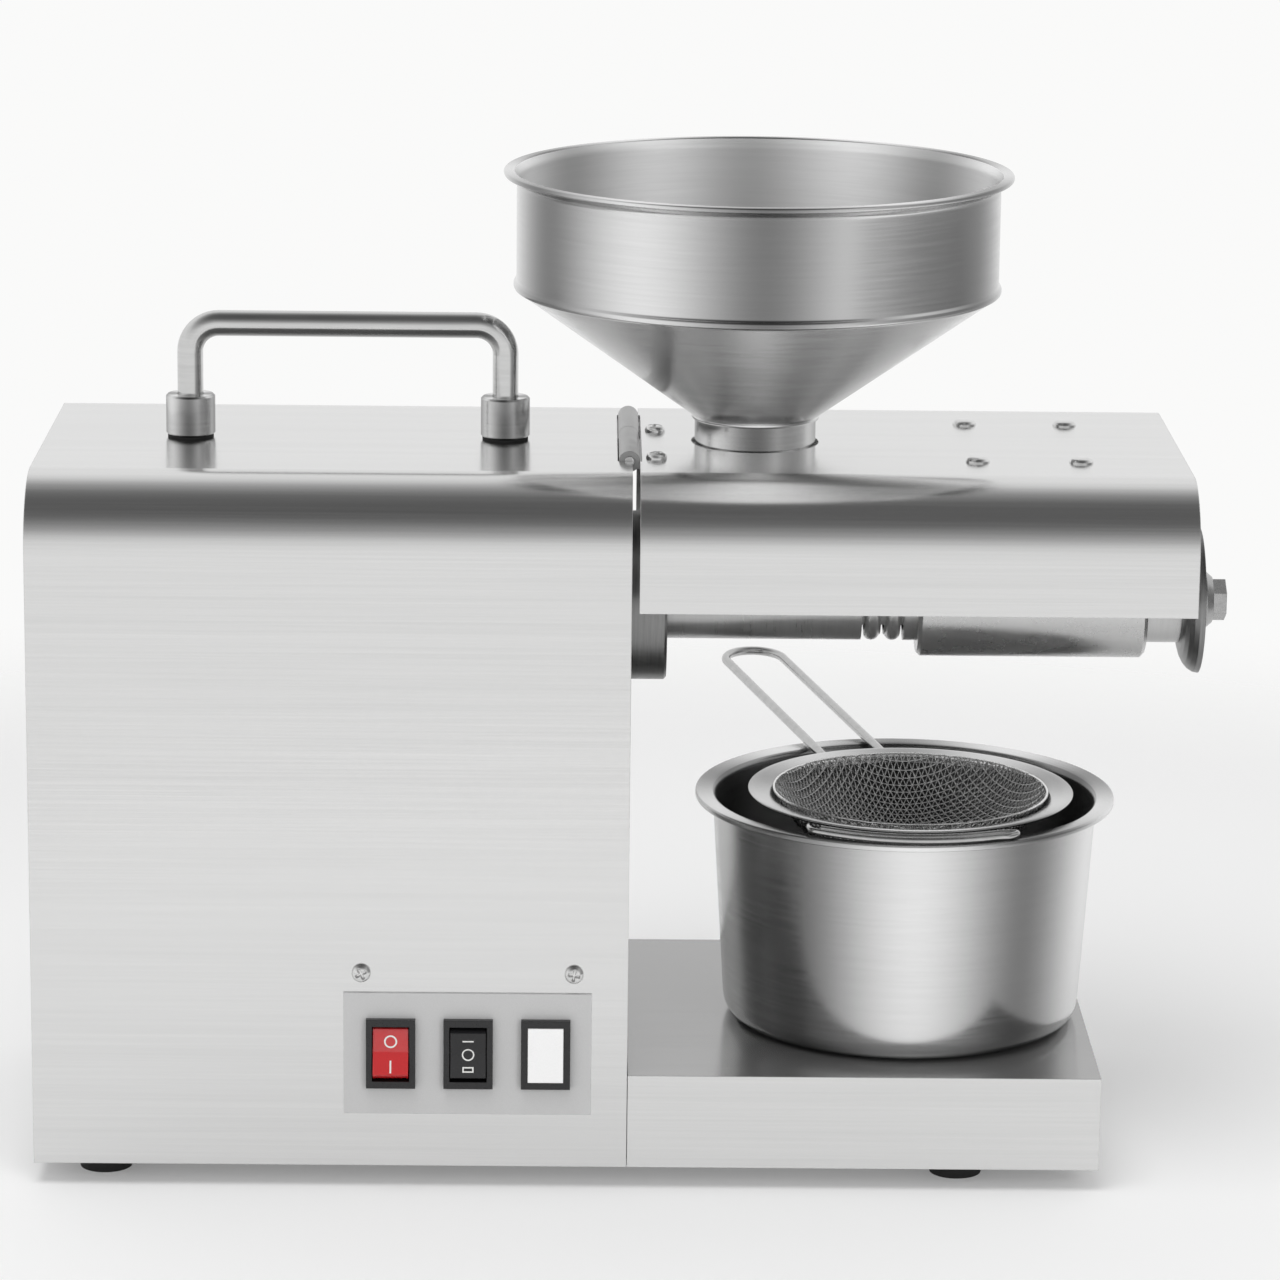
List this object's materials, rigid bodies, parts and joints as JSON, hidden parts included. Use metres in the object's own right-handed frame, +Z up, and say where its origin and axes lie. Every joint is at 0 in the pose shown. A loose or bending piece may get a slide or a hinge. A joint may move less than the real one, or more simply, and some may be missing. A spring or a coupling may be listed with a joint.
{
  "type": "screw oil press",
  "caption": "Tabletop screw oil press: folded steel housing, geared worm in a slotted barrel, round hopper, hinged cover, and a pot with a strainer under the barrel.",
  "frame": {"origin": "on the floor, under the middle of the whole machine", "axes": "+X along the press worm towards the cake outlet, -Y to the front with the switches, +Z up"},
  "size_m": [0.3698, 0.222, 0.3046],
  "materials": {
    "brushed_sheet": "brushed along the length",
    "polished_sheet": "polished",
    "fasteners": "plain",
    "dark_steel": "turned, dark",
    "machined_steel": "turned",
    "plate_steel": "plain",
    "motor_paint": "satin",
    "rubber": "matt",
    "panel_grey": "satin",
    "black_plastic": "satin",
    "black_rocker": "gloss",
    "red_rocker": "gloss, translucent",
    "white_lens": "gloss, translucent",
    "board_green": "satin",
    "contacts": "plain"
  },
  "bodies": {
    "machine": {"housing_shell": "brushed_sheet", "left_end_cover": "brushed_sheet", "end_cover_screws": "fasteners", "right_end_plate": "brushed_sheet", "base_plate": "plate_steel", "base_tray": "brushed_sheet", "rubber_feet": "rubber", "foot_screws": "fasteners", "handle_tube": "polished_sheet", "handle_ferrule_left": "polished_sheet", "handle_ferrule_right": "polished_sheet", "handle_gaskets": "rubber", "handle_bolts": "fasteners", "hinge_leaf_housing": "fasteners", "hinge_pin": "fasteners", "feed_throat": "machined_steel", "press_seat": "dark_steel", "seat_screws": "fasteners", "press_barrel": "machined_steel", "heater_sleeve": "machined_steel", "cake_guard": "dark_steel", "motor_case": "motor_paint", "motor_stator": "motor_paint", "gearbox_front_plate": "plate_steel", "gearbox_rear_plate": "plate_steel", "gearbox_pillars": "machined_steel", "gearbox_bearings": "machined_steel", "switch_panel": "panel_grey", "power_switch_body": "black_plastic", "direction_switch_body": "black_plastic", "lamp_body": "black_plastic", "lamp_lens": "white_lens", "board_screws": "fasteners", "board_standoffs": "machined_steel", "control_board": "board_green", "board_parts": "black_plastic", "power_inlet": "black_plastic", "inlet_contacts": "contacts", "inlet_screws": "fasteners"},
    "cover": {"chamber_cover": "brushed_sheet", "hinge_leaf_cover": "fasteners", "hinge_screws": "fasteners", "heat_shield": "brushed_sheet", "cover_rivets": "fasteners"},
    "hopper": {"hopper_bowl": "polished_sheet", "hopper_cone": "polished_sheet"},
    "worm": {"press_worm": "machined_steel", "tail_nut": "fasteners", "output_shaft": "machined_steel", "output_gear": "machined_steel"},
    "idler": {"idler_pinion": "machined_steel", "idler_gear": "machined_steel"},
    "rotor": {"motor_rotor": "machined_steel", "motor_fan": "black_plastic"},
    "power_switch": {"power_rocker": "red_rocker"},
    "direction_switch": {"direction_rocker": "black_rocker"},
    "pot": {"oil_pot": "polished_sheet"},
    "strainer": {"strainer_rim": "polished_sheet", "strainer_mesh": "polished_sheet", "strainer_handle": "polished_sheet"}
  },
  "joints": [
    {"name": "cover_hinge", "type": "hinge", "parent": "machine", "child": "cover", "pos_m": [-0.00235, -0.02962, 0.2199], "axis": [0, -1, 0], "range_deg": [0, 105]},
    {"name": "hopper_lift", "type": "slide", "parent": "machine", "child": "hopper", "axis": [0, 0, 1], "range_m": [0, 0.3]},
    {"name": "worm_spin", "type": "hinge", "parent": "machine", "child": "worm", "pos_m": [0.06705, -0.03263, 0.1706], "axis": [1, 0, 0], "continuous": true},
    {"name": "idler_spin", "type": "hinge", "parent": "machine", "child": "idler", "pos_m": [-0.03295, -0.03263, 0.1206], "axis": [1, 0, 0], "continuous": true},
    {"name": "motor_spin", "type": "hinge", "parent": "machine", "child": "rotor", "pos_m": [-0.09295, -0.03263, 0.0786], "axis": [1, 0, 0], "continuous": true},
    {"name": "power_rocker", "type": "hinge", "parent": "machine", "child": "power_switch", "pos_m": [-0.07355, -0.10412, 0.0435], "axis": [1, 0, 0], "range_deg": [0, 24]},
    {"name": "direction_rocker", "type": "hinge", "parent": "machine", "child": "direction_switch", "pos_m": [-0.04995, -0.10412, 0.0435], "axis": [1, 0, 0], "range_deg": [-12, 12]},
    {"name": "pot_slide", "type": "slide", "parent": "machine", "child": "pot", "axis": [0, -1, 0], "range_m": [0, 0.15]},
    {"name": "strainer_lift", "type": "slide", "parent": "pot", "child": "strainer", "axis": [0, 0, 1], "range_m": [0, 0.03]}
  ],
  "couplings": [
    {"joint": "hopper_lift", "follows": "cover_hinge", "m_per_rad": 0.16},
    {"joint": "idler_spin", "follows": "worm_spin", "ratio": -4},
    {"joint": "motor_spin", "follows": "worm_spin", "ratio": 20}
  ]
}
